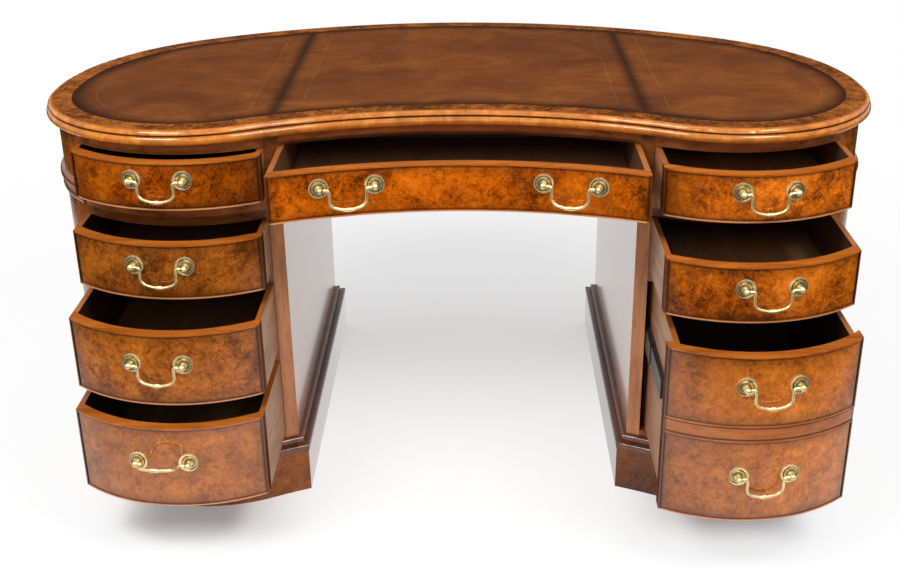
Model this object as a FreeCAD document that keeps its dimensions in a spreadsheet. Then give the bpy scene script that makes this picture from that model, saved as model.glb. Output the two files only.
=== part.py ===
import FreeCAD, Part
import math
import os
import re
import Sketcher

# Kidney-shaped pedestal desk, in millimetres, +Z up, front towards -Y.
# The plan is drawn about the line through the centres of the two front lobes.
SIZES = {
    # plan of the top
    "half_width": 797.0,
    "lobe_radius": 285.0,
    "front_dip": 122.0,
    "end_run": 27.0,
    "back_reach": 590.0,
    "shoulder_turn": 57.775,
    "lobe_line_y": -17.0,
    # insets from the edge of the top
    "overhang": 19.0,
    "shell_thick": 18.0,
    "plinth_out": 20.0,
    "plinth_thick": 30.0,
    # kneehole and pedestal widths
    "knee_half": 331.0,
    "side_thick": 24.0,
    "end_margin": 76.5,
    # heights, stacked from the floor
    "plinth_high": 92.0,
    "lip_high": 12.0,
    "step_high": 14.0,
    "base_rail": 12.0,
    "reveal": 1.0,
    "drawer_four": 161.0,
    "rail_gap": 29.0,
    "drawer_three": 138.0,
    "drawer_two": 104.0,
    "pedestal_lid": 17.0,
    "waist_gap": 48.0,
    "drawer_one": 88.0,
    "crown_gap": 22.0,
    "top_thick": 28.0,
    # top surface
    "edge_wide": 12.0,
    "band_wide": 36.0,
    "band_thick": 3.0,
    "skin_thick": 2.5,
    "skin_gap": 0.3,
    # edge moulding section
    "edge_roll": 8.5,
    "edge_groove": 2.5,
    "edge_groove_deep": 6.0,
    "edge_foot": 7.0,
    "edge_swell": 6.5,
    # waist moulding section
    "waist_upper": 23.0,
    "waist_lower": 21.0,
    "waist_upper_out": 9.0,
    "waist_lower_out": 6.5,
    "waist_nib": 2.0,
    # plinth moulding section
    "lip_out": 1.5,
    "lip_round": 5.0,
    "step_back": 10.0,
    "step_round": 6.0,
    # bow of the pedestal fronts: how far it turns from its middle to each end, in degrees
    "bow_turn": 36.87,
    # drawers
    "front_thick": 20.0,
    "bead_wide": 3.0,
    "bead_deep": 9.0,
    "bead_proud": 1.6,
    "lining_thick": 10.0,
    "bottom_thick": 6.0,
    "bottom_rise": 6.0,
    "back_drop": 8.0,
    "box_over": 10.0,
    "centre_back": 260.0,
    "run_gap": 0.3,
    "file_strip": 27.0,
    "file_lower": 164.0,
    # how far each drawer is drawn out
    "left_one_out": 44.0,
    "left_two_out": 90.0,
    "left_three_out": 178.0,
    "left_four_out": 214.0,
    "centre_out": 171.0,
    "right_one_out": 117.0,
    "right_two_out": 200.0,
    "file_out": 273.0,
    # rails, runners and guides
    "rail_deep": 40.0,
    "runner_wide": 18.0,
    "runner_thick": 20.0,
    "guide_thick": 12.0,
    "guide_gap": 6.7,
    # filing slides
    "slide_wide": 13.0,
    "slide_tall": 46.0,
    "slide_wall": 1.5,
    "slide_play": 0.5,
    "slide_rise": 205.0,
    "slide_gap": 16.5,
    # handles
    "post_half": 48.0,
    "post_long": 15.0,
    "rosette_radius": 17.5,
    "rim_thick": 3.4,
    "rim_wide": 2.6,
    "recess_thick": 1.6,
    "ring_radius": 12.0,
    "ring_thick": 3.8,
    "boss_radius": 8.0,
    "boss_thick": 6.0,
    "neck_radius": 3.6,
    "ball_radius": 6.2,
    "bolt_radius": 2.5,
    "bolt_play": 0.5,
    "nut_radius": 6.0,
    "nut_thick": 4.0,
    "wire_radius": 2.8,
    "pin_play": 0.05,
    "pin_over": 5.0,
    "neck_reach": 10.5,
    "neck_bend": 5.0,
    "bail_drop": 14.5,
    "bail_corner": 15.0,
    "bail_sweep": 68.0,
    "swell_radius": 4.0,
    "swell_half": 16.0,
    "handle_rise": 12.0,
    "handle_aside": 5.0,
    "centre_handle": 196.0,
    "bail_lift": 108.0,
}

# Sizes that follow from the ones above.
DERIVED = {
    "lobe_x": "half_width - lobe_radius",
    "dip_mid": "lobe_radius - front_dip",
    "dip_radius": "(lobe_x^2 + dip_mid^2 - lobe_radius^2) / (2 * front_dip)",
    "dip_y": "dip_mid + dip_radius",
    "turn_share": "(1 - sin(shoulder_turn * 1 deg)) / cos(shoulder_turn * 1 deg)",
    "shoulder_radius": "(back_reach - end_run - half_width * turn_share) / (1 - turn_share)",
    "back_radius": "shoulder_radius + (half_width - shoulder_radius) / cos(shoulder_turn * 1 deg)",
    "bay_in": "knee_half + side_thick",
    "bay_out": "half_width - overhang - end_margin",
    "dip_end": "(dip_radius + overhang) * lobe_x / (dip_radius + lobe_radius)",
    "bow_in_dip": "sqrt((dip_radius + overhang)^2 - min(bay_in; dip_end)^2) - dip_y",
    "bow_in_lobe": "-sqrt((lobe_radius - overhang)^2 - (max(bay_in; dip_end) - lobe_x)^2)",
    "bow_in_y": "bay_in < dip_end ? bow_in_dip : bow_in_lobe",
    "bow_out_y": "-sqrt((lobe_radius - overhang)^2 - (bay_out - lobe_x)^2)",
    "bow_chord": "sqrt((bay_out - bay_in)^2 + (bow_out_y - bow_in_y)^2)",
    "bow_radius": "bow_chord / 2 / sin(bow_turn * 1 deg)",
    "bow_deep": "bow_radius * cos(bow_turn * 1 deg)",
    "bow_x": "(bay_in + bay_out) / 2 - bow_deep * (bow_out_y - bow_in_y) / bow_chord",
    "bow_back": "(bow_in_y + bow_out_y) / 2 + bow_deep * (bay_out - bay_in) / bow_chord",
    "rail_back": "bow_out_y + rail_deep",
    "shell_in": "shoulder_radius - overhang - shell_thick",
    "guide_aside": "bay_out + guide_thick - half_width + shoulder_radius",
    "slide_back": "end_run + sqrt(shell_in^2 - guide_aside^2) - guide_gap",
    "box_back": "slide_back + box_over",
    "front_in": "bay_in + reveal",
    "front_out": "bay_out - reveal",
    "centre_half": "knee_half - reveal",
    "lip_top": "plinth_high + lip_high",
    "step_top": "lip_top + step_high",
    "base_top": "step_top + base_rail",
    "four_low": "base_top + reveal",
    "four_high": "four_low + drawer_four",
    "three_low": "four_high + rail_gap",
    "three_high": "three_low + drawer_three",
    "two_low": "three_high + rail_gap",
    "two_high": "two_low + drawer_two",
    "pedestal_top": "two_high + reveal + pedestal_lid",
    "one_low": "two_high + waist_gap",
    "one_high": "one_low + drawer_one",
    "top_low": "one_high + crown_gap",
    "top_high": "top_low + top_thick",
    "band_low": "top_high - band_thick",
    "lower_high": "four_low + file_lower",
    "upper_low": "lower_high + file_strip",
    "slide_mid": "four_low + slide_rise",
    "slide_front": "-bow_out_y - front_thick - slide_gap",
    "edge_nose": "top_thick - edge_roll - edge_groove",
    "nose_chord": "edge_nose^2 + (edge_foot - edge_groove_deep)^2",
    "bail_in": "post_half - neck_reach - neck_bend - bail_corner",
    "bail_wide": "bail_corner + bail_in / cos(bail_sweep * 1 deg)",
    "bail_low": "neck_bend + bail_drop + bail_wide - bail_in * tan(bail_sweep * 1 deg)",
}

doc = FreeCAD.newDocument("kidney_desk")
dims = doc.addObject("Spreadsheet::Sheet", "dims")
words = list(SIZES) + list(DERIVED)


def bound(text):
    """The same sum with each size taken from the sheet."""
    return re.sub(r"[a-z_]+", lambda m: "dims." + m.group() if m.group() in words else m.group(), text)


for row, word in enumerate(words, start=1):
    dims.set("A%d" % row, word)
    if word in SIZES:
        dims.set("B%d" % row, "%.6g" % SIZES[word])
    else:
        names = set(re.findall(r"[a-z_]+", DERIVED[word])) & set(words)
        total = DERIVED[word]
        for name in sorted(names, key=len, reverse=True):
            total = re.sub(r"\b%s\b" % name, "B%d" % (words.index(name) + 1), total)
        dims.set("B%d" % row, "=" + total)
    dims.setAlias("B%d" % row, word)
doc.recompute()


def value(text):
    """The present size of a sum, in millimetres."""
    return float(dims.evalExpression(bound(text)))


def vec(x, y, z=0.0):
    return FreeCAD.Vector(x, y, z)


def arc(x, y, radius, start, end):
    return Part.ArcOfCircle(Part.Circle(vec(x, y), vec(0, 0, 1), radius), start, end)


def line(x0, y0, x1, y1):
    return Part.LineSegment(vec(x0, y0), vec(x1, y1))


def hold(sketch, name, kind, refs, text):
    """A driving dimension of a sketch, bound to the sheet."""
    number = sketch.addConstraint(Sketcher.Constraint(kind, *refs, value(text)))
    sketch.renameConstraint(number, name)
    sketch.setExpression("Constraints." + name, bound(text))


def seat(thing, x="0", y="0", z="0"):
    """Binds where an object sits; y is counted from the line of the lobe centres."""
    thing.setExpression("Placement.Base.x", bound(x))
    thing.setExpression("Placement.Base.y", bound("lobe_line_y + (%s)" % y))
    thing.setExpression("Placement.Base.z", bound(z))


def kidney_lines(sketch, inset):
    """The kidney plan as eight tangent arcs and lines, moved inwards by an inset."""
    move = value(inset)
    lobe_x = value("lobe_x")
    dip_y = -value("dip_y")
    end_x = value("half_width") - move
    run = value("end_run")
    shoulder = value("shoulder_radius")
    shoulder_x = value("half_width") - shoulder
    back_y = value("back_reach - back_radius")
    lean = math.atan2(-dip_y, lobe_x)
    turn = math.atan2(run - back_y, shoulder_x)
    lobe = value("lobe_radius") - move
    sketch.addGeometry([
        arc(0, dip_y, value("dip_radius") + move, lean, math.pi - lean),
        arc(lobe_x, 0, lobe, lean + math.pi, 2 * math.pi),
        line(end_x, 0, end_x, run),
        arc(shoulder_x, run, shoulder - move, 0, turn),
        arc(0, back_y, value("back_radius") - move, turn, math.pi - turn),
        arc(-shoulder_x, run, shoulder - move, math.pi - turn, math.pi),
        line(-end_x, run, -end_x, 0),
        arc(-lobe_x, 0, lobe, math.pi, 2 * math.pi - lean),
    ])
    # the dip runs against the others, so both its joins name their ends
    for refs in [(0, 1, 1, 1)] + [(n, 2, n + 1, 1) for n in range(1, 7)] + [(7, 2, 0, 2)]:
        sketch.addConstraint(Sketcher.Constraint("Tangent", *refs))
    sketch.addConstraint(Sketcher.Constraint("PointOnObject", 1, 3, -1))
    sketch.addConstraint(Sketcher.Constraint("Symmetric", 1, 3, 7, 3, -2))
    sketch.addConstraint(Sketcher.Constraint("Equal", 1, 7))
    sketch.addConstraint(Sketcher.Constraint("Equal", 3, 5))
    sketch.addConstraint(Sketcher.Constraint("Vertical", 2))
    sketch.addConstraint(Sketcher.Constraint("Vertical", 6))
    hold(sketch, "lobe", "Radius", (1,), "lobe_radius - (%s)" % inset)
    hold(sketch, "lobe_place", "DistanceX", (-1, 1, 1, 3), "lobe_x")
    hold(sketch, "dip", "Radius", (0,), "dip_radius + (%s)" % inset)
    hold(sketch, "run_right", "DistanceY", (-1, 1, 2, 2), "end_run")
    hold(sketch, "run_left", "DistanceY", (-1, 1, 6, 1), "end_run")
    hold(sketch, "shoulder", "Radius", (3,), "shoulder_radius - (%s)" % inset)
    hold(sketch, "back", "Radius", (4,), "back_radius - (%s)" % inset)


def raised(name, sketch, low, high):
    """A solid raised from a plan sketch between two heights."""
    solid = doc.addObject("Part::Extrusion", name)
    solid.Base = sketch
    solid.DirMode = "Normal"
    solid.Solid = True
    solid.setExpression("LengthFwd", bound("(%s) - (%s)" % (high, low)))
    return solid


def plan(name, low, y="0"):
    sketch = doc.addObject("Sketcher::SketchObject", name + "_plan")
    seat(sketch, "0", y, low)
    return sketch


def slab(name, inset, low, high):
    """A kidney-shaped slab."""
    sketch = plan(name, low)
    kidney_lines(sketch, inset)
    return raised(name, sketch, low, high)


def block(name, x, y, z):
    """A plain block between two limits along each axis."""
    solid = doc.addObject("Part::Box", name)
    for prop, (near, far) in zip(("Length", "Width", "Height"), (x, y, z)):
        solid.setExpression(prop, bound("(%s) - (%s)" % (far, near)))
    seat(solid, x[0], y[0], z[0])
    return solid


def cut(name, base, tool):
    solid = doc.addObject("Part::Cut", name)
    solid.Base = base
    solid.Tool = tool
    return solid


def common(name, base, tool):
    solid = doc.addObject("Part::Common", name)
    solid.Base = base
    solid.Tool = tool
    return solid


def mirrored(name, source):
    """The same piece on the other side of the desk."""
    solid = doc.addObject("Part::Mirroring", name)
    solid.Source = source
    solid.Normal = vec(1, 0, 0)
    return solid


def group(name, pieces):
    """Several separate solids of one node."""
    solid = doc.addObject("Part::Compound", name)
    solid.Links = pieces
    return solid


def bow_y(x, radius):
    return value("bow_back") - math.sqrt(radius ** 2 - (x - value("bow_x")) ** 2)


def dip_line_y(x, radius):
    return math.sqrt(radius ** 2 - x ** 2) - value("dip_y")


def curved_plan(sketch, bowed, outer, near, far, inner=None, back=None):
    """A plan with a curved front: an even curved strip, or a board with a straight back."""
    rim = value(outer)
    x0 = value(near)
    x1 = value(far)
    front = bow_y if bowed else dip_line_y
    mid_x = value("bow_x") if bowed else 0.0
    mid_y = value("bow_back") if bowed else -value("dip_y")

    def edge(radius):
        ends = [math.atan2(front(x, radius) - mid_y, x - mid_x) for x in (x0, x1)]
        return arc(mid_x, mid_y, radius, min(ends), max(ends))

    # a bowed arc starts at the near end, a dipped one at the far end
    start, end = (1, 2) if bowed else (2, 1)
    y0 = front(x0, rim)
    y1 = front(x1, rim)
    if inner:
        core = value(inner)
        y2 = front(x1, core)
        y3 = front(x0, core)
        rear = edge(core)
    else:
        y2 = y3 = value(back)
        rear = line(x1, y2, x0, y3)
    sketch.addGeometry([edge(rim), line(x1, y1, x1, y2), rear, line(x0, y3, x0, y0)])
    rear_far, rear_near = (end, start) if inner else (1, 2)
    for refs in ((0, end, 1, 1), (1, 2, 2, rear_far), (2, rear_near, 3, 1), (3, 2, 0, start)):
        sketch.addConstraint(Sketcher.Constraint("Coincident", *refs))
    sketch.addConstraint(Sketcher.Constraint("Vertical", 1))
    sketch.addConstraint(Sketcher.Constraint("Vertical", 3))
    if bowed:
        hold(sketch, "mid_x", "DistanceX", (-1, 1, 0, 3), "bow_x")
        hold(sketch, "mid_y", "DistanceY", (-1, 1, 0, 3), "bow_back")
    else:
        sketch.addConstraint(Sketcher.Constraint("PointOnObject", 0, 3, -2))
        hold(sketch, "mid_y", "DistanceY", (0, 3, -1, 1), "dip_y")
    hold(sketch, "rim", "Radius", (0,), outer)
    hold(sketch, "near", "DistanceX", (-1, 1, 0, start), near)
    hold(sketch, "far", "DistanceX", (-1, 1, 0, end), far)
    if inner:
        sketch.addConstraint(Sketcher.Constraint("Coincident", 0, 3, 2, 3))
        hold(sketch, "core", "Radius", (2,), inner)
    else:
        sketch.addConstraint(Sketcher.Constraint("Horizontal", 2))
        hold(sketch, "back", "DistanceY", (-1, 1, 2, 1), back)


def curved(name, bowed, outer, x, z, out="0", inner=None, back=None):
    """A board or strip with a bowed or a dipped front, drawn out by some distance."""
    sketch = plan(name, z[0], "-(%s)" % out)
    curved_plan(sketch, bowed, outer, x[0], x[1], inner, back)
    return raised(name, sketch, z[0], z[1])


def front_radius(bowed, behind):
    """Radius of a front line set back by a distance from the face of the carcass."""
    if bowed:
        return "bow_radius - (%s)" % behind
    return "dip_radius + overhang + (%s)" % behind


def ring(name, outer, inner, low, high):
    """A kidney-shaped frame between two insets."""
    return cut(name, slab(name + "_outer", outer, low, high), slab(name + "_inner", inner, low, high))


def half(name, solid, near):
    """The part of a solid beyond a distance from the middle, on the right."""
    reach = ("-2 * half_width", "2 * half_width")
    return common(name, solid, block(name + "_side", (near, "2 * half_width"), reach, ("0", "top_high")))


def swept(name, outline, inset, low):
    """A moulding with a given section, swept once round the plan."""
    body = doc.addObject("PartDesign::Body", name)
    roles = {item.Role: item for item in body.Origin.OriginFeatures}
    spine = body.newObject("Sketcher::SketchObject", name + "_spine")
    spine.AttachmentSupport = (roles["XY_Plane"], "")
    spine.MapMode = "FlatFace"
    kidney_lines(spine, inset)
    section = body.newObject("Sketcher::SketchObject", name + "_section")
    section.AttachmentSupport = (roles["XZ_Plane"], "")
    section.MapMode = "FlatFace"
    outline(section)
    doc.recompute()
    pipe = body.newObject("PartDesign::AdditivePipe", name + "_pipe")
    pipe.Profile = section
    pipe.Spine = (spine, ["Edge%d" % (n + 1) for n in range(8)])
    seat(body, "0", "0", low)
    return body


def section_point(sketch, name, geo, end, x, z):
    """Fixes one corner of a moulding section by its two distances."""
    if x:
        hold(sketch, name + "_x", "DistanceX", (-1, 1, geo, end), x)
    if z:
        hold(sketch, name + "_z", "DistanceY", (-1, 1, geo, end), z)


def closed_chain(sketch, count):
    for geo in range(count):
        sketch.addConstraint(Sketcher.Constraint("Coincident", geo, 2, (geo + 1) % count, 1))


def through(a, b, c):
    return Part.Arc(vec(*a), vec(*b), vec(*c))


def edge_section(sketch):
    """Edge of the top: a lower bullnose, a dark groove and an upper roll."""
    rim = "half_width"
    inner = "half_width - edge_wide"
    foot = "half_width - edge_foot"
    deep = "half_width - edge_groove_deep"
    shelf = "top_thick - edge_roll"
    nose = "edge_nose"
    roll = "half_width - edge_wide + edge_roll"
    at = {word: value(text) for word, text in (
        ("rim", rim), ("inner", inner), ("foot", foot), ("deep", deep), ("shelf", shelf), ("nose", nose),
        ("roll", roll), ("tall", "top_thick"), ("bend", "edge_roll"))}
    sketch.addGeometry([
        line(at["inner"], 0, at["foot"], 0),
        through((at["foot"], 0), (at["rim"], at["nose"] / 2), (at["deep"], at["nose"])),
        line(at["deep"], at["nose"], at["deep"], at["shelf"]),
        line(at["deep"], at["shelf"], at["roll"], at["shelf"]),
        arc(at["inner"], at["shelf"], at["bend"], 0, math.pi / 2),
        line(at["inner"], at["tall"], at["inner"], 0),
    ])
    closed_chain(sketch, 6)
    for geo in (0, 3):
        sketch.addConstraint(Sketcher.Constraint("Horizontal", geo))
    for geo in (2, 5):
        sketch.addConstraint(Sketcher.Constraint("Vertical", geo))
    sketch.addConstraint(Sketcher.Constraint("PointOnObject", 0, 1, -1))
    section_point(sketch, "inner", 0, 1, inner, None)
    section_point(sketch, "foot", 0, 2, foot, None)
    section_point(sketch, "deep", 1, 2, deep, nose)
    section_point(sketch, "shelf", 3, 2, roll, shelf)
    section_point(sketch, "crest", 4, 2, None, "top_thick")
    hold(sketch, "roll", "Radius", (4,), "edge_roll")
    hold(sketch, "nose", "Radius", (1,), "nose_chord / 8 / edge_swell + edge_swell / 2")


def waist_section(sketch):
    """Waist moulding: two half-round rolls, the upper one prouder."""
    face = "half_width - overhang"
    nib = "half_width - overhang + waist_nib"
    tall = "waist_lower + waist_upper"
    at = {word: value(text) for word, text in (
        ("face", face), ("nib", nib), ("low", "waist_lower"), ("tall", tall),
        ("upper", "waist_upper_out"), ("lower", "waist_lower_out"))}
    mid_low = at["low"] / 2
    mid_high = (at["low"] + at["tall"]) / 2
    sketch.addGeometry([
        line(at["face"], 0, at["nib"], 0),
        through((at["nib"], 0), (at["face"] + at["lower"], mid_low), (at["nib"], at["low"])),
        through((at["nib"], at["low"]), (at["face"] + at["upper"], mid_high), (at["nib"], at["tall"])),
        line(at["nib"], at["tall"], at["face"], at["tall"]),
        line(at["face"], at["tall"], at["face"], 0),
    ])
    closed_chain(sketch, 5)
    for geo in (0, 3):
        sketch.addConstraint(Sketcher.Constraint("Horizontal", geo))
    sketch.addConstraint(Sketcher.Constraint("Vertical", 4))
    sketch.addConstraint(Sketcher.Constraint("PointOnObject", 0, 1, -1))
    section_point(sketch, "face", 0, 1, face, None)
    section_point(sketch, "nib", 0, 2, nib, None)
    section_point(sketch, "mid", 1, 2, nib, "waist_lower")
    section_point(sketch, "tip", 2, 2, nib, tall)
    rise = "(%s_out - waist_nib)"
    for geo, word in ((1, "waist_lower"), (2, "waist_upper")):
        bulge = rise % word
        hold(sketch, word, "Radius", (geo,), "(%s^2 / 4 + %s^2) / (2 * %s)" % (word, bulge, bulge))


finished = []


def keep(thing, label):
    """A finished node of the desk, under its own name."""
    thing.Label = label
    finished.append(thing)
    return thing


def pair(solid, label):
    """A right-hand piece and its mirror image on the left."""
    keep(solid, "right_" + label)
    keep(mirrored(solid.Name + "_left", solid), "left_" + label)


# Top: core board, crossband, leather skins and the moulded edge.
keep(slab("core", "edge_wide", "top_low", "band_low"), "top_core_board")
keep(ring("band", "edge_wide", "edge_wide + band_wide", "band_low", "top_high"), "top_crossband")
skin = slab("skin", "edge_wide + band_wide + skin_gap", "band_low", "band_low + skin_thick")
deep = ("-2 * half_width", "2 * half_width")
joint = "knee_half + side_thick / 2"
middle_x = ("-(%s) + skin_gap" % joint, joint + " - skin_gap")
centre_skin = block("skin_middle", middle_x, deep, ("0", "top_high"))
keep(common("skin_centre", skin, centre_skin), "leather_centre")
right_skin = half("skin_right", skin, joint + " + skin_gap")
pair(right_skin, "leather")
keep(swept("edge", edge_section, "0", "top_low"), "top_edge_moulding")

# Frieze: a curved shell round the ends and back, open at the front.
bay = ("-bay_out", "bay_out")
ahead = ("-2 * half_width", "0")
whole = ("0", "top_high")
shell = ring("frieze_ring", "overhang", "overhang + shell_thick", "pedestal_top", "top_low")
frieze = cut("frieze", shell, block("frieze_mouth", bay, ahead, whole))
keep(frieze, "frieze_shell")
waist_ring = swept("waist", waist_section, "overhang", "pedestal_top")
keep(cut("waist_cut", waist_ring, block("waist_mouth", bay, ahead, whole)), "waist_moulding")

# Rails above and below the frieze drawers, bowed over the pedestals and hollow in the middle.
crown = ("one_high + reveal", "top_low")
foot = ("pedestal_top", "one_low - reveal")
rails = []
for word, height in (("crown", crown), ("foot", foot)):
    side_rail = curved(word + "_right", True, front_radius(True, "0"), ("bay_in", "bay_out"), height,
                       back="rail_back")
    middle = curved(word + "_middle", False, front_radius(False, "0"), ("-knee_half", "knee_half"), height,
                    inner=front_radius(False, "rail_deep"))
    rails += [side_rail, mirrored(word + "_left", side_rail), middle]
keep(group("frieze_rail_set", rails), "frieze_rails")

# Partitions between the frieze drawers, and the inner sides of the pedestals below them.
wall = ("knee_half", "bay_in")
partition = common("partition_whole", slab("partition_plan", "overhang", "pedestal_top", "top_low"),
                   block("partition_block", wall, deep, whole))
partition = cut("partition", partition, frieze)
keep(group("partition_set", [partition, mirrored("partition_left", partition)]), "frieze_partitions")

# Runners under the frieze drawers.
runners = []
runner_z = ("one_low - reveal - runner_thick", "one_low - reveal")
runner_spans = (("inner", "bay_in", "bay_in + runner_wide"), ("outer", "bay_out - runner_wide", "bay_out"))
for word, near, far in runner_spans:
    strip = block("frieze_runner_" + word, (near, far), ("rail_back + run_gap", "box_back"), runner_z)
    runners += [strip, mirrored("frieze_runner_%s_left" % word, strip)]
strip = curved("centre_runner", False, front_radius(False, "rail_deep + run_gap"),
               ("knee_half - runner_wide", "knee_half"), runner_z, back="centre_back")
runners += [strip, mirrored("centre_runner_left", strip)]
keep(group("frieze_runner_set", runners), "frieze_runners")

# Pedestals: a flat inner side, a curved shell, a plinth and its stepped moulding.
side = common("side", slab("side_plan", "overhang", "plinth_high", "pedestal_top"),
              block("side_block", wall, deep, whole))
pair(side, "pedestal_side")
skirt = ring("skirt_ring", "overhang", "overhang + shell_thick", "plinth_high", "pedestal_top")
skirt = cut("skirt_open", skirt, block("skirt_mouth", bay, ahead, whole))
pair(half("skirt", skirt, "bay_in"), "pedestal_shell")

plinth_in = "overhang - plinth_out"
knee = "knee_half - plinth_out"
plinth_outer = half("plinth_outer", slab("plinth_plan", plinth_in, "0", "plinth_high"), knee)
plinth_inner = half("plinth_inner", slab("plinth_hole", plinth_in + " + plinth_thick", "0", "plinth_high"),
                    knee + " + plinth_thick")
pair(cut("plinth", plinth_outer, plinth_inner), "plinth")


def rounded_step(name, inset, near, low, high, radius):
    """One step of the plinth moulding with its top edge rounded over."""
    solid = half(name + "_block", slab(name + "_slab", inset, low, high), near)
    doc.recompute()
    top = value(high)
    edges = [n + 1 for n, edge in enumerate(solid.Shape.Edges) if edge.BoundBox.ZMin > top - 0.01]
    fillet = doc.addObject("Part::Fillet", name)
    fillet.Base = solid
    fillet.Edges = [(n, value(radius), value(radius)) for n in edges]
    return fillet


lip = rounded_step("lip", plinth_in + " - lip_out", knee + " - lip_out",
                   "plinth_high", "lip_top", "lip_round")
step = rounded_step("step", plinth_in + " + step_back", knee + " + step_back",
                    "lip_top", "step_top", "step_round")
moulding = doc.addObject("Part::Fuse", "plinth_steps")
moulding.Base = lip
moulding.Tool = step
carcass = half("carcass", slab("carcass_plan", "overhang", "plinth_high", "step_top"), "knee_half")
pair(cut("plinth_steps_open", moulding, carcass), "plinth_moulding")

# Boards and rails inside each pedestal; the right one has no rail across the deep filing drawer.
bay_x = ("bay_in", "bay_out")
base_z = ("plinth_high", "base_top")
base = common("base", slab("base_plan", "overhang", *base_z),
              curved("base_board", True, front_radius(True, "0"), bay_x, base_z, back="box_back"))
lid = curved("lid", True, front_radius(True, "0"), bay_x, ("two_high + reveal", "pedestal_top"),
             back="box_back")
pair(group("board_set", [base, lid]), "pedestal_boards")


def rail_set(name, low, high):
    """A front rail between two drawers and the runners behind it."""
    z = (low + " + reveal", high + " - reveal")
    pieces = [curved(name + "_rail", True, front_radius(True, "0"), ("bay_in", "bay_out"), z,
                     back="rail_back")]
    level = (high + " - reveal - runner_thick", high + " - reveal")
    for word, near, far in runner_spans:
        pieces.append(block("%s_runner_%s" % (name, word), (near, far), ("rail_back", "box_back"), level))
    return pieces


# a lining board on the curved side carries the runners and the filing slide
guide = block("guide", ("bay_out", "bay_out + guide_thick"), ("-slide_front + rail_deep / 4", "slide_back"),
              ("base_top", "two_high + reveal"))
upper_rail = rail_set("upper", "three_high", "two_low")
lower_rail = rail_set("lower", "four_high", "three_low")
right_set = group("right_rail_set", upper_rail + [guide])
left_set = group("left_rail_set", upper_rail + lower_rail + [guide])
keep(right_set, "right_pedestal_rails")
keep(mirrored("left_rails", left_set), "left_pedestal_rails")


def drawer_front(name, bowed, x, z, out, panels):
    """A curved front board with a proud cockbead let in round each panel of its face."""
    board = curved(name + "_blank", bowed, front_radius(bowed, "0"), x, z, out,
                   inner=front_radius(bowed, "front_thick"))
    beads = []
    for number, (low, high) in enumerate(panels):
        part = "%s_bead_%d" % (name, number)
        rim = curved(part + "_rim", bowed, front_radius(bowed, "-bead_proud"), x, (low, high), out,
                     inner=front_radius(bowed, "bead_deep"))
        inside = (x[0] + " + bead_wide", x[1] + " - bead_wide")
        core = curved(part + "_core", bowed, front_radius(bowed, "-2 * bead_proud"), inside,
                      (low + " + bead_wide", high + " - bead_wide"), out,
                      inner=front_radius(bowed, "2 * bead_deep"))
        beads.append(cut(part, rim, core))
        board = cut(name + "_rebated_%d" % number, board, beads[-1])
    return board, beads


def drawer_box(name, bowed, x, z, out, back):
    """Two sides, a back and a bottom, butted behind the front."""
    low = z[0] + " - reveal + run_gap"
    behind = front_radius(bowed, "front_thick")
    near = (x[0], x[0] + " + lining_thick")
    far = (x[1] + " - lining_thick", x[1])
    pieces = []
    for word, span in (("near", near), ("far", far)):
        pieces.append(curved("%s_%s" % (name, word), bowed, behind, span, (low, z[1]), out, back=back))
    floor = (low + " + bottom_rise", low + " + bottom_rise + bottom_thick")
    pieces.append(curved(name + "_bottom", bowed, behind, (near[1], far[0]), floor, out,
                         back=back + " - lining_thick"))
    depth = ("%s - lining_thick - (%s)" % (back, out), "%s - (%s)" % (back, out))
    pieces.append(block(name + "_back", (near[1], far[0]), depth, (floor[0], z[1] + " - back_drop")))
    return pieces


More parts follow.
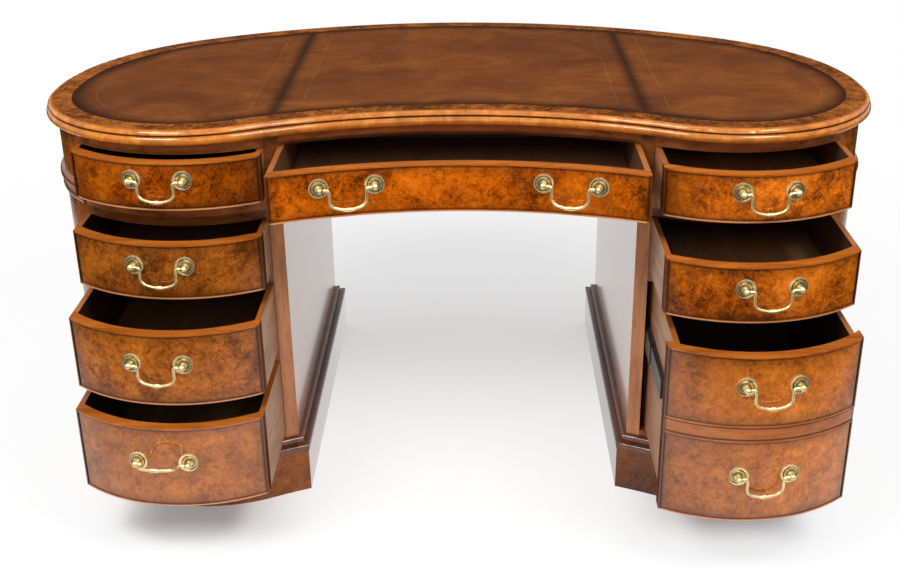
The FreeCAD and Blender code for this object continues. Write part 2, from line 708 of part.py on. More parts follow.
def revolved_mount():
    """One handle mount: bolt, stepped rosette, neck and ball, turned about its own axis."""
    body = doc.addObject("PartDesign::Body", "mount")
    roles = {item.Role: item for item in body.Origin.OriginFeatures}
    sketch = body.newObject("Sketcher::SketchObject", "mount_section")
    sketch.AttachmentSupport = (roles["XZ_Plane"], "")
    sketch.MapMode = "FlatFace"
    tail = "front_thick + nut_thick + bolt_play"
    ball = "sqrt(ball_radius^2 - neck_radius^2)"
    # each step is a radius and the level where the next, smaller one starts
    steps = [("bolt_radius", "0"), ("rosette_radius", "rim_thick"),
             ("rosette_radius - rim_wide", "recess_thick"), ("ring_radius", "ring_thick"),
             ("boss_radius", "boss_thick"), ("neck_radius", "post_long - %s" % ball)]
    level = value("-(%s)" % tail)
    spots = [(0.0, level)]
    for radius, top in steps:
        spots.append((value(radius), level))
        level = value(top)
        spots.append((value(radius), level))
    tip = value("post_long + ball_radius")
    shapes = [line(*spots[n], *spots[n + 1]) for n in range(len(spots) - 1)]
    centre = value("post_long")
    lean = math.atan2(spots[-1][1] - centre, spots[-1][0])
    shapes.append(arc(0, centre, value("ball_radius"), lean, math.pi / 2))
    shapes.append(line(0, tip, 0, spots[0][1]))
    sketch.addGeometry(shapes)
    count = len(shapes)
    closed_chain(sketch, count)
    for geo in range(count - 2):
        sketch.addConstraint(Sketcher.Constraint("Vertical" if geo % 2 else "Horizontal", geo))
    sketch.addConstraint(Sketcher.Constraint("PointOnObject", 0, 1, -2))
    sketch.addConstraint(Sketcher.Constraint("PointOnObject", count - 2, 2, -2))
    sketch.addConstraint(Sketcher.Constraint("PointOnObject", count - 2, 3, -2))
    hold(sketch, "tail", "DistanceY", (0, 1, -1, 1), tail)
    sketch.addConstraint(Sketcher.Constraint("PointOnObject", 2, 1, -1))
    for number, (radius, top) in enumerate(steps):
        hold(sketch, "radius_%d" % number, "DistanceX", (-1, 1, 2 * number + 1, 2), radius)
        if 0 < number < len(steps) - 1:
            hold(sketch, "level_%d" % number, "DistanceY", (-1, 1, 2 * number + 2, 1), top)
    hold(sketch, "post_long", "DistanceY", (-1, 1, count - 2, 3), "post_long")
    hold(sketch, "ball_radius", "Radius", (count - 2,), "ball_radius")
    turned = body.newObject("PartDesign::Revolution", "mount_turned")
    turned.Profile = sketch
    turned.ReferenceAxis = (sketch, ["V_Axis"])
    turned.Angle = 360
    return body


def bent_bail():
    """One swan-neck bail: two pins, two necks, two drops and a wide bow, bent from round wire."""
    body = doc.addObject("PartDesign::Body", "bail")
    roles = {item.Role: item for item in body.Origin.OriginFeatures}
    path = body.newObject("Sketcher::SketchObject", "bail_path")
    path.AttachmentSupport = (roles["XZ_Plane"], "")
    path.MapMode = "FlatFace"
    pin = value("post_half + pin_over")
    neck = value("post_half - neck_reach")
    bend = value("neck_bend")
    drop = neck - bend
    low = -value("neck_bend + bail_drop")
    corner = value("bail_corner")
    sweep = math.radians(value("bail_sweep"))
    inner = value("bail_in")
    wide = value("bail_wide")
    mid = low + inner * math.tan(sweep)
    full = 2 * math.pi
    path.addGeometry([
        line(-pin, 0, -neck, 0),
        arc(-neck, -bend, bend, 0, math.pi / 2),
        line(-drop, -bend, -drop, low),
        arc(-inner, low, corner, math.pi, math.pi + sweep),
        arc(0, mid, wide, math.pi + sweep, full - sweep),
        arc(inner, low, corner, full - sweep, full),
        line(drop, low, drop, -bend),
        arc(neck, -bend, bend, math.pi / 2, math.pi),
        line(neck, 0, pin, 0),
    ])
    # the two neck bends run against the rest of the wire
    joins = [(0, 2, 1, 2), (1, 1, 2, 1)] + [(n, 2, n + 1, 1) for n in range(2, 6)]
    for refs in joins + [(6, 2, 7, 2), (7, 1, 8, 1)]:
        path.addConstraint(Sketcher.Constraint("Tangent", *refs))
    path.addConstraint(Sketcher.Constraint("PointOnObject", 0, 1, -1))
    path.addConstraint(Sketcher.Constraint("PointOnObject", 8, 2, -1))
    for geo in (0, 8):
        path.addConstraint(Sketcher.Constraint("Horizontal", geo))
    for geo in (2, 6):
        path.addConstraint(Sketcher.Constraint("Vertical", geo))
    for one, two in ((1, 7), (3, 5)):
        path.addConstraint(Sketcher.Constraint("Equal", one, two))
    hold(path, "pin_left", "DistanceX", (0, 1, -1, 1), "post_half + pin_over")
    hold(path, "pin_right", "DistanceX", (-1, 1, 8, 2), "post_half + pin_over")
    hold(path, "neck_left", "DistanceX", (0, 2, -1, 1), "post_half - neck_reach")
    hold(path, "neck_right", "DistanceX", (-1, 1, 8, 1), "post_half - neck_reach")
    hold(path, "neck_bend", "Radius", (1,), "neck_bend")
    hold(path, "drop_left", "DistanceY", (2, 2, -1, 1), "neck_bend + bail_drop")
    hold(path, "drop_right", "DistanceY", (6, 1, -1, 1), "neck_bend + bail_drop")
    hold(path, "corner", "Radius", (3,), "bail_corner")
    hold(path, "wide", "Radius", (4,), "bail_wide")
    wire = body.newObject("Sketcher::SketchObject", "bail_wire")
    wire.AttachmentSupport = (roles["YZ_Plane"], "")
    wire.MapMode = "FlatFace"
    wire.setExpression("AttachmentOffset.Base.z", bound("-(post_half + pin_over)"))
    wire.addGeometry(Part.Circle(vec(0, 0), vec(0, 0, 1), value("wire_radius")))
    wire.addConstraint(Sketcher.Constraint("Coincident", 0, 3, -1, 1))
    hold(wire, "wire_radius", "Radius", (0,), "wire_radius")
    doc.recompute()
    bent = body.newObject("PartDesign::AdditivePipe", "bail_bent")
    bent.Profile = wire
    bent.Spine = (path, ["Edge%d" % (n + 1) for n in range(9)])
    return body


def bail_swelling():
    """The swelling in the middle of a bail's bow, turned about its own length."""
    body = doc.addObject("PartDesign::Body", "swelling")
    roles = {item.Role: item for item in body.Origin.OriginFeatures}
    sketch = body.newObject("Sketcher::SketchObject", "swelling_section")
    sketch.AttachmentSupport = (roles["XZ_Plane"], "")
    sketch.MapMode = "FlatFace"
    end = value("swell_half")
    sketch.addGeometry([line(-end, 0, end, 0), through((end, 0), (0, value("swell_radius")), (-end, 0))])
    closed_chain(sketch, 2)
    for point in (1, 2):
        sketch.addConstraint(Sketcher.Constraint("PointOnObject", 0, point, -1))
    hold(sketch, "left_end", "DistanceX", (0, 1, -1, 1), "swell_half")
    hold(sketch, "right_end", "DistanceX", (-1, 1, 0, 2), "swell_half")
    hold(sketch, "bulge", "Radius", (1,), "(swell_half^2 + swell_radius^2) / (2 * swell_radius)")
    turned = body.newObject("PartDesign::Revolution", "swelling_turned")
    turned.Profile = sketch
    turned.ReferenceAxis = (sketch, ["H_Axis"])
    turned.Angle = 360
    body.setExpression("Placement.Base.z", bound("-bail_low"))
    return body


mount_body = revolved_mount()
bail_body = doc.addObject("Part::Fuse", "bail_whole")
bail_body.Base = bent_bail()
bail_body.Tool = bail_swelling()
doc.recompute()


def handle_frame(bowed, x, z, out):
    """Centre of the front's curve, its turn at the handle, and the spread of the two posts."""
    half_way = value("post_half")
    if bowed:
        radius = value("bow_radius")
        mid = vec(value("bow_x"), value("lobe_line_y + bow_back - (%s)" % out), value(z))
        turn = math.asin((value(x) - value("bow_x")) / radius)
        spread = math.asin(half_way / (radius + value("post_long")))
        return mid, radius, turn, spread, -1.0
    # a flat rosette bears on a hollow front by its rim
    face = value("dip_radius + overhang")
    radius = math.sqrt(face ** 2 - value("rosette_radius") ** 2) - value("run_gap")
    mid = vec(0, value("lobe_line_y - dip_y - (%s)" % out), value(z))
    turn = math.asin(value(x) / radius)
    spread = math.asin(half_way / (radius - value("post_long")))
    return mid, radius, turn, spread, 1.0


def handle(bowed, x, z, out):
    """Places of the two mounts of a handle and the place of its bail."""
    mid, radius, turn, spread, sign = handle_frame(bowed, x, z, out)
    spots = []
    for angle in (turn - spread, turn + spread):
        foot_at = mid + vec(radius * math.sin(angle), sign * radius * math.cos(angle))
        outward = vec(-sign * math.sin(angle), -math.cos(angle))
        spots.append(FreeCAD.Placement(foot_at, FreeCAD.Rotation(vec(0, 0, 1), outward)))
    balls = [spot.multVec(vec(0, 0, value("post_long"))) for spot in spots]
    along = balls[1] - balls[0]
    lean = math.degrees(math.atan2(along.y, along.x))
    pivot = FreeCAD.Placement((balls[0] + balls[1]) * 0.5, FreeCAD.Rotation(vec(0, 0, 1), lean))
    return spots, pivot


def mounts(spots, pivot):
    """The mounts and nuts of one handle, with the bail's bearing bored across the balls."""
    reach = value("post_half + 2 * ball_radius")
    bore = Part.makeCylinder(value("wire_radius + pin_play"), 2 * reach, vec(-reach, 0, 0), vec(1, 0, 0))
    bore.Placement = pivot
    solids = []
    for spot in spots:
        piece = mount_body.Shape.copy()
        piece.Placement = spot
        solids.append(piece.cut(bore).Solids[0])
        start = vec(0, 0, -value("front_thick + bolt_play + nut_thick"))
        nut = Part.makeCylinder(value("nut_radius"), value("nut_thick"), start, vec(0, 0, 1))
        hole = Part.makeCylinder(value("bolt_radius + pin_play"), value("nut_thick"), start, vec(0, 0, 1))
        nut = nut.cut(hole)
        nut.Placement = spot
        solids.append(nut)
    return solids


def bolt_holes(spots):
    """Clearance holes for the bolts of one handle."""
    deep_hole = 2 * value("front_thick")
    wide = value("bolt_radius + bolt_play")
    holes = []
    for spot in spots:
        hole = Part.makeCylinder(wide, 2 * deep_hole, vec(0, 0, -deep_hole), vec(0, 0, 1))
        hole.Placement = spot
        holes.append(hole)
    return Part.makeCompound(holes)


def placed(name, shape, flip=False):
    """A shape set from the sheet's sizes, turned over to the left where asked."""
    item = doc.addObject("Part::Feature", name)
    if flip:
        shape = shape.mirror(vec(0, 0, 0), vec(1, 0, 0))
    item.Shape = shape
    return item


def drawer(label, bowed, x, z, out, panels, handles, back, box_x=None, left=False):
    """One drawer: front with cockbead, box, handle mounts and bails."""
    board, beads = drawer_front(label + "_front", bowed, x, z, out, panels)
    box = drawer_box(label + "_box", bowed, box_x or x, z, out, back)
    fittings = []
    drilled = board
    for number, (word, hx, hz, lift) in enumerate(handles):
        spots, pivot = handle(bowed, hx, hz, out)
        fittings += mounts(spots, pivot)
        holes = placed("%s_holes_%d" % (label, number), bolt_holes(spots))
        drilled = cut("%s_drilled_%d" % (label, number), drilled, holes)
        bail = bail_body.Shape.copy()
        swing = FreeCAD.Placement(vec(0, 0, 0), FreeCAD.Rotation(vec(1, 0, 0), -lift))
        bail.Placement = pivot.multiply(swing)
        keep(placed(word + "_bail_piece", bail, left), word + "_bail")
    front = group(label + "_front_set", [drilled] + beads)
    boxed = group(label + "_box_set", box)
    if left:
        front = mirrored(label + "_front_left", front)
        boxed = mirrored(label + "_box_left", boxed)
    keep(front, label + "_drawer_front")
    keep(boxed, label + "_drawer_box")
    keep(placed(label + "_mounts", Part.makeCompound(fittings), left), label + "_handle_mounts")


side_x = ("front_in", "front_out")
side_mid = "(front_in + front_out) / 2 + handle_aside"


def side_drawer(label, low, high, out, left, lift=0.0):
    """A bowed drawer of a pedestal with one handle in the middle."""
    level = "(%s + %s) / 2 + handle_rise" % (low, high)
    drawer(label, True, side_x, (low, high), out, [(low, high)], [(label, side_mid, level, lift)],
           "box_back", left=left)


side_drawer("left_1", "one_low", "one_high", "left_one_out", True)
side_drawer("left_2", "two_low", "two_high", "left_two_out", True)
side_drawer("left_3", "three_low", "three_high", "left_three_out", True)
side_drawer("left_4", "four_low", "four_high", "left_four_out", True, value("bail_lift"))
side_drawer("right_1", "one_low", "one_high", "right_one_out", False)
side_drawer("right_2", "two_low", "two_high", "right_two_out", False)

centre_level = "(one_low + one_high) / 2 + handle_rise"
drawer("centre", False, ("-centre_half", "centre_half"), ("one_low", "one_high"), "centre_out",
       [("one_low", "one_high")],
       [("centre_left", "-centre_handle", centre_level, 0.0),
        ("centre_right", "centre_handle", centre_level, 0.0)],
       "centre_back")

# The filing drawer: one deep box behind two false fronts, hung on three-member slides.
upper_level = "(upper_low + three_high) / 2 + handle_rise"
lower_level = "(four_low + lower_high) / 2 + handle_rise"
drawer("file", True, side_x, ("four_low", "three_high"), "file_out",
       [("four_low", "lower_high"), ("upper_low", "three_high")],
       [("file_upper", side_mid, upper_level, 0.0), ("file_lower", side_mid, lower_level, 0.0)],
       "box_back", box_x=("bay_in + slide_wide", "bay_out - slide_wide"))


def slide_member(name, wall, depth, half_tall, y, hand):
    """One channel of a filing slide, open towards the drawer; hand is +1 on the kneehole side."""
    near, far = wall, "%s + (%s)" % (wall, depth)
    web = "%s + slide_wall" % wall
    if hand < 0:
        near, far = "bay_in + bay_out - (%s)" % far, "bay_in + bay_out - (%s)" % near
        web = "bay_in + bay_out - (%s)" % web
    z = ("slide_mid - (%s)" % half_tall, "slide_mid + (%s)" % half_tall)
    blank = block(name + "_blank", (near, far), y, z)
    hollow = (web, far + " + slide_wall") if hand > 0 else (near + " - slide_wall", web)
    inner = (z[0] + " + slide_wall", z[1] + " - slide_wall")
    return cut(name, blank, block(name + "_hollow", hollow, y, inner))


slide_sets = {"outer": [], "middle": [], "inner": []}
ends = ("-slide_front", "slide_back")
for hand, word in ((1, "knee"), (-1, "end")):
    slide_sets["outer"].append(slide_member(
        "slide_outer_" + word, "bay_in", "slide_wide - 3 * slide_play", "slide_tall / 2", ends, hand))
    middle_y = ("-slide_front - file_out / 2", "slide_back - file_out / 2")
    slide_sets["middle"].append(slide_member(
        "slide_middle_" + word, "bay_in + slide_wall + slide_play",
        "slide_wide - slide_wall - 3 * slide_play",
        "slide_tall / 2 - slide_wall - slide_play", middle_y, hand))
    bar = ("bay_in + 2 * slide_wall + 2 * slide_play", "bay_in + slide_wide")
    if hand < 0:
        bar = ("bay_in + bay_out - (%s)" % bar[1], "bay_in + bay_out - (%s)" % bar[0])
    half_bar = "slide_tall / 2 - 2 * slide_wall - 2 * slide_play"
    bar_y = ("-slide_front - file_out", "slide_back - file_out")
    bar_z = ("slide_mid - (%s)" % half_bar, "slide_mid + (%s)" % half_bar)
    slide_sets["inner"].append(block("slide_inner_" + word, bar, bar_y, bar_z))
for word, members in slide_sets.items():
    keep(group("slide_%s_set" % word, members), "file_slide_" + word)

doc.recompute()

faults = []
for item in doc.Objects:
    if any(state in ("Invalid", "Error") for state in item.State):
        faults.append("%s is %s" % (item.Label, ", ".join(item.State)))
for item in finished:
    if item.Shape.isNull() or not item.Shape.isValid() or not item.Shape.Solids:
        faults.append("%s has no sound solid" % item.Label)
if faults:
    raise RuntimeError("; ".join(faults))

os.makedirs("parts", exist_ok=True)
for item in finished:
    item.Shape.exportStep("parts/%s.step" % item.Label)
print("%d nodes" % len(finished))
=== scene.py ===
# %% [markdown]
# The imported desk is the fixed frame. Every board, drawer and handle is already in place, in metres and in its real
# shape, so this lesson models no new piece. It dresses what is there: camera, finishes and studio.

# %% Load the frame
import bpy
import math
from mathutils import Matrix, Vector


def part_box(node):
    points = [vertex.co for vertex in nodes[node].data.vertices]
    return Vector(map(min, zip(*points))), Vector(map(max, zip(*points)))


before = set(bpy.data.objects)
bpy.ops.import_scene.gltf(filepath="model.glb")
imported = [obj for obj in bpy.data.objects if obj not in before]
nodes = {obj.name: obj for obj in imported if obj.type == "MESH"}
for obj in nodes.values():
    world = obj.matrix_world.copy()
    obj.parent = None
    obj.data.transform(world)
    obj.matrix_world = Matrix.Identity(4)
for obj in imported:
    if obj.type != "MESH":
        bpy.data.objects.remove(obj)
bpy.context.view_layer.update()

# %% [markdown]
# The photograph was taken from the front, standing, with a short telephoto. A camera can be matched by eye, but
# this one was fitted to the desk's corners and edges, which is surer. It stands close to the desk's middle line,
# 2.4 m before it and 1.43 m up, looks down by 24.5 degrees and a touch to the right. A small sideways shift of
# the frame says that the picture was trimmed at its left.

# %% Camera
LENS = 50.15
SENSOR = 36.0
TRIM = -0.0461
STAND = (0.0307, -2.4149, 1.4335)
LOOK_DOWN = 24.49
LOOK_RIGHT = 0.71

lens = bpy.data.cameras.new("studio_camera")
lens.sensor_width = SENSOR
lens.lens = LENS
lens.shift_x = TRIM
camera = bpy.data.objects.new("studio_camera", lens)
camera.location = STAND
camera.rotation_euler = (math.radians(90.0 - LOOK_DOWN), 0.0, math.radians(-LOOK_RIGHT))
bpy.context.scene.collection.objects.link(camera)
bpy.context.scene.camera = camera
bpy.context.scene.view_settings.view_transform = "Standard"
print("camera lens", LENS, "at", STAND)

# %% [markdown]
# Finishes are written as sums. Nodes can be wired one by one, but then the sum gets lost among the links. Here a
# wire stands for one output of a node, and adding, multiplying or comparing wires adds the Math nodes for it.


# %% Wires
class Wire:
    """One output of a node; arithmetic on it adds Math nodes."""

    def __init__(self, finish, socket):
        self.finish = finish
        self.socket = socket

    def maths(self, operation, first, second=0.0, third=0.0):
        return self.finish.node("ShaderNodeMath", {0: first, 1: second, 2: third}, operation=operation)

    def __add__(self, other):
        return self.maths("ADD", self, other)

    def __radd__(self, other):
        return self.maths("ADD", other, self)

    def __sub__(self, other):
        return self.maths("SUBTRACT", self, other)

    def __rsub__(self, other):
        return self.maths("SUBTRACT", other, self)

    def __mul__(self, other):
        return self.maths("MULTIPLY", self, other)

    def __rmul__(self, other):
        return self.maths("MULTIPLY", other, self)

    def __truediv__(self, other):
        return self.maths("DIVIDE", self, other)

    def __rtruediv__(self, other):
        return self.maths("DIVIDE", other, self)

    def __pow__(self, other):
        return self.maths("POWER", self, other)

    def __lt__(self, other):
        return self.maths("LESS_THAN", self, other)

    def __gt__(self, other):
        return self.maths("GREATER_THAN", self, other)

    def __abs__(self):
        return self.maths("ABSOLUTE", self)

    def least(self, other):
        return self.maths("MINIMUM", self, other)

    def most(self, other):
        return self.maths("MAXIMUM", self, other)

    def root(self):
        return self.maths("SQRT", self)

    def fade(self, start, end):
        """0 up to start, 1 from end on, smooth between."""
        return self.finish.node("ShaderNodeMapRange", {0: self, 1: start, 2: end, 3: 0.0, 4: 1.0},
                                interpolation_type="SMOOTHSTEP")

    def between(self, start, full, fall, end):
        """Rises from 0 to 1 between start and full, and falls back to 0 between fall and end."""
        return self.fade(start, full) * (1.0 - self.fade(fall, end))


print("a wire adds, multiplies, compares and fades")

# %% [markdown]
# A finish is one material. Every node of it comes from one method, which sets the node up and plugs it. It reads
# the piece's own coordinates and the way its faces point, so the pattern stays on the piece when a drawer slides.


# %% Finishes
class Finish:
    """A material or a sky built from its own nodes, on the piece's own coordinates."""

    def __init__(self, owner):
        self.owner = owner
        self.owner.use_nodes = True
        self.tree = self.owner.node_tree
        self.shader = self.tree.nodes.get("Principled BSDF")
        self.place = self.node("ShaderNodeTexCoord", {}, output="Object")
        self.facing = Wire(self, self.place.socket.node.outputs["Normal"])
        self.x, self.y, self.z = self.parts(self.place)

    def node(self, kind, inputs, output=0, stops=None, **settings):
        """Adds one node: its settings first, then the values or wires of its sockets."""
        made = self.tree.nodes.new(kind)
        for name, setting in settings.items():
            setattr(made, name, setting)
        if stops:
            ramp = made.color_ramp.elements
            while len(ramp) < len(stops):
                ramp.new(1.0)
            for element, (spot, colour) in zip(ramp, stops):
                element.position = spot
                element.color = (*colour, 1.0)
        for name, value in inputs.items():
            if isinstance(value, Wire):
                self.tree.links.new(value.socket, made.inputs[name])
            else:
                made.inputs[name].default_value = value
        return Wire(self, made.outputs[output])

    def parts(self, vector):
        split = self.node("ShaderNodeSeparateXYZ", {0: vector})
        return [Wire(self, output) for output in split.socket.node.outputs]

    def moved(self, place=(0, 0, 0), size=(1, 1, 1)):
        """The piece's coordinates, shifted or stretched."""
        return self.node("ShaderNodeMapping", {0: self.place, "Location": place, "Scale": size})

    def noise(self, where, scale, detail=4.0, rough=0.55, twist=0.0):
        return self.node("ShaderNodeTexNoise", {"Vector": where, "Scale": scale, "Detail": detail,
                                                "Roughness": rough, "Distortion": twist})

    def ramp(self, factor, *stops):
        return self.node("ShaderNodeValToRGB", {0: factor}, stops=stops)

    def mix(self, factor, one, two, blend="MIX"):
        two = two if isinstance(two, Wire) else (*two, 1.0)
        return self.node("ShaderNodeMix", {0: factor, 6: one, 7: two}, output=2, data_type="RGBA",
                         blend_type=blend)

    def bump(self, height, strength, depth):
        return self.node("ShaderNodeBump", {"Height": height, "Strength": strength, "Distance": depth})

    def plug(self, **sockets):
        """Wires or plain values for the shader, by socket name with _ for a space."""
        for name, value in sockets.items():
            socket = self.shader.inputs[name.replace("_", " ")]
            if isinstance(value, Wire):
                self.tree.links.new(value.socket, socket)
            else:
                socket.default_value = value
        return self.owner


print("a finish mixes, bumps and plugs its nodes")

# %% [markdown]
# The desk's pieces are never moved or changed: they only get a material. A finish goes on by the names of the
# pieces, in place of the plain colour that they were packed with.


# %% Dressing
def new_finish(name):
    return Finish(bpy.data.materials.new(name))


def dress(finish, *names):
    """Puts a finish on the desk's own pieces."""
    for name in names:
        nodes[name].data.materials.clear()
        nodes[name].data.materials.append(finish)
    print(finish.name, "on", len(names))


print("pieces to dress", len(nodes))

# %% [markdown]
# Burr veneer is cut across a swollen knot, so it has clouds, curls, flecks and small dark eyes, and no direction.
# A scan would repeat and would have to be laid on every curve. Noise at the size of the real figure fills any
# shape: one noise for each size of cloud, summed to a tone, and a ramp from dark to light wood. Dark blots and
# their eyes come last. Three sets of shades stand for the three tints of leaf on this desk.

# %% Burr figure
BROWN_BURR = ((0.32, (0.085, 0.024, 0.004)), (0.44, (0.215, 0.058, 0.006)), (0.54, (0.345, 0.096, 0.009)),
              (0.68, (0.480, 0.150, 0.018)))
AMBER_BURR = ((0.32, (0.085, 0.017, 0.001)), (0.44, (0.300, 0.056, 0.001)), (0.54, (0.470, 0.094, 0.002)),
              (0.68, (0.660, 0.150, 0.006)))
HONEY_BURR = ((0.32, (0.085, 0.021, 0.002)), (0.44, (0.290, 0.063, 0.003)), (0.54, (0.455, 0.106, 0.005)),
              (0.68, (0.640, 0.170, 0.011)))
BLOT = (0.075, 0.020, 0.004)
EYE = (0.045, 0.012, 0.003)
SPECK = (0.040, 0.012, 0.004)


def scaled(colour, level):
    return [channel * level for channel in colour]


def burr_figure(finish, shift, shades, depth, level):
    """Burr colour and its tone; depth is how strongly the figure shows, level how light it is."""
    where = finish.moved(place=shift)
    cloud = finish.noise(where, 9.0, 4.0, 0.60, 0.6)
    curl = finish.noise(where, 52.0, 6.0, 0.72, 0.7)
    fleck = finish.noise(where, 105.0, 5.0, 0.68, 1.8)
    tone = 0.5 + (cloud * 0.44 + curl * 0.46 + fleck * 0.42 - 0.66) * depth * 1.3
    colour = finish.ramp(tone, *[(spot, scaled(shade, level)) for spot, shade in shades])
    blot = finish.noise(where, 15.0, 5.0, 0.65).fade(0.54, 0.68)
    colour = finish.mix(blot * (0.45 * depth), colour, BLOT)
    eye = finish.node("ShaderNodeTexVoronoi", {"Vector": where, "Scale": 75.0, "Randomness": 1.0})
    colour = finish.mix((1.0 - eye.fade(0.08, 0.28)) * blot * (0.6 * depth), colour, EYE)
    speck = finish.noise(where, 260.0, 2.0).fade(0.66, 0.76)
    return finish.mix(speck * (0.4 * depth), colour, SPECK), tone


print("burr shades", len(BROWN_BURR), len(AMBER_BURR), len(HONEY_BURR))

# %% [markdown]
# Straight walnut has long streaks and short dark pores along the grain. The same noise serves, but its
# coordinates are squeezed along the grain, which draws every spot out into a streak.

# %% Straight figure
PORE = (0.035, 0.012, 0.005)
ALONG_X = (0.12, 1.0, 1.0)
ALONG_Y = (1.0, 0.12, 1.0)
ALONG_Z = (1.0, 1.0, 0.12)


def straight_figure(finish, shift, along, light, dark):
    """Colour of long-grained walnut, and its grain."""
    where = finish.moved(place=shift, size=along)
    grain = finish.noise(where, 60.0, 6.0, 0.65, 0.4)
    pore = finish.noise(where, 240.0, 3.0, 0.6).fade(0.60, 0.70)
    colour = finish.ramp(grain, (0.32, dark), (0.66, light))
    return finish.mix(pore * 0.5, colour, PORE), grain


print("grain can run along x, y or z")

# %% [markdown]
# A drawer front is a burr panel inside a proud bead. The filing drawer's front is dressed as two drawers, so it
# has two panels. Where the bead runs is known from the front's own box: the finish measures how far each spot
# lies inside the nearest edge, and colours the bead, the painted shade beside it and the darker margin by that
# distance.

# %% Front panels
BEAD = 0.003
LOWER_PANEL = 0.164
UPPER_PANEL = 0.191

fronts = {name: name.replace("_drawer_front", "") for name in nodes if name.endswith("_drawer_front")}
panels = {name: [(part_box(name)[0].z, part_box(name)[1].z)] for name in fronts}
low, high = panels["file_drawer_front"][0]
panels["file_drawer_front"] = [(low, low + LOWER_PANEL), (low + UPPER_PANEL, high)]


def inside_rim(finish, name):
    """How far a spot lies inside its panel, and inside the front's two ends."""
    lowest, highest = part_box(name)
    side = (finish.x - lowest.x).least(highest.x - finish.x)
    rim = None
    for under, over in panels[name]:
        gap = (finish.z - under).least(over - finish.z)
        rim = gap if rim is None else rim.most(gap)
    return rim.least(side), side


print("fronts", len(fronts), "panels", sum(len(part) for part in panels.values()))

# %% [markdown]
# No two fronts are veneered alike. Each takes one set of shades, a depth and a level, and four of them darken
# towards one end, as painted shade. A table keeps this in one place, and the finish multiplies the burr by the
# shade of that end.

# %% Front veneers
VENEER = {"centre": (AMBER_BURR, 1.15, 0.90), "right_1": (HONEY_BURR, 1.2, 1.50),
          "left_1": (AMBER_BURR, 1.3, 0.64), "right_2": (HONEY_BURR, 1.2, 1.08),
          "left_2": (BROWN_BURR, 1.1, 0.92), "left_3": (BROWN_BURR, 1.1, 1.02),
          "left_4": (BROWN_BURR, 0.8, 1.12), "file": (BROWN_BURR, 0.8, 1.50)}
# Painted shade: four fronts darken towards one end.
LEFT_SHADE = ("left", 0.75, (0.64, 0.62, 0.62))
SHADED_ENDS = {"right_1": [LEFT_SHADE, ("left", 0.22, (0.45, 0.45, 0.45))], "right_2": [LEFT_SHADE],
             "file": [LEFT_SHADE], "left_1": [("right", 0.55, (0.62, 0.62, 0.62))]}
LEAF = (0.731, 0.413, 0.557)


def veneer(finish, name, number):
    """The burr of one front, from its own part of the noise, with painted shade towards a darker end."""
    lowest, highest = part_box(name)
    burr, tone = burr_figure(finish, scaled(LEAF, number), *VENEER[fronts[name]])
    across = (finish.x - lowest.x) / (highest.x - lowest.x)
    for end, reach, shade in SHADED_ENDS.get(fronts[name], []):
        away = across if end == "left" else 1.0 - across
        burr = finish.mix(1.0 - away.fade(0.0, reach), burr, shade, "MULTIPLY")
    return burr, tone


print("veneers", len(VENEER), "with dark ends", len(SHADED_ENDS))

# %% [markdown]
# The front's finish puts the parts together. The panel darkens within a margin of its bead, and a painted shade
# runs right beside the bead. The bead's lower edge carries a painted highlight, and the gap between the two filing
# panels and the front's two ends are painted dark as shade. The top is plain walnut without gloss, and the back is
# painted near black, as the shade inside the drawer. The gloss is a coat over the colour, as varnish is over wood.
# The two lowest fronts have the thicker polish.

# %% Drawer fronts
MARGIN = 0.030
BESIDE_BEAD = (BEAD + 0.0010, BEAD + 0.0060)
GAP_START, GAP_END = -0.0003, -0.0035
END_REACH = (0.002, 0.008)
UPWARD, BACKWARD, ENDWAYS = 0.6, 0.3, 0.97
MARGIN_BROWN = (0.070, 0.020, 0.005)
BEAD_SHADE = (0.018, 0.006, 0.003)
BEAD_HIGHLIGHT = (0.640, 0.340, 0.170)
GAP_SHADE = (0.030, 0.010, 0.004)
END_SHADE = (0.024, 0.008, 0.003)
INSIDE_SHADE = (0.020, 0.011, 0.007)
THICK_POLISH = ("left_4", "file")


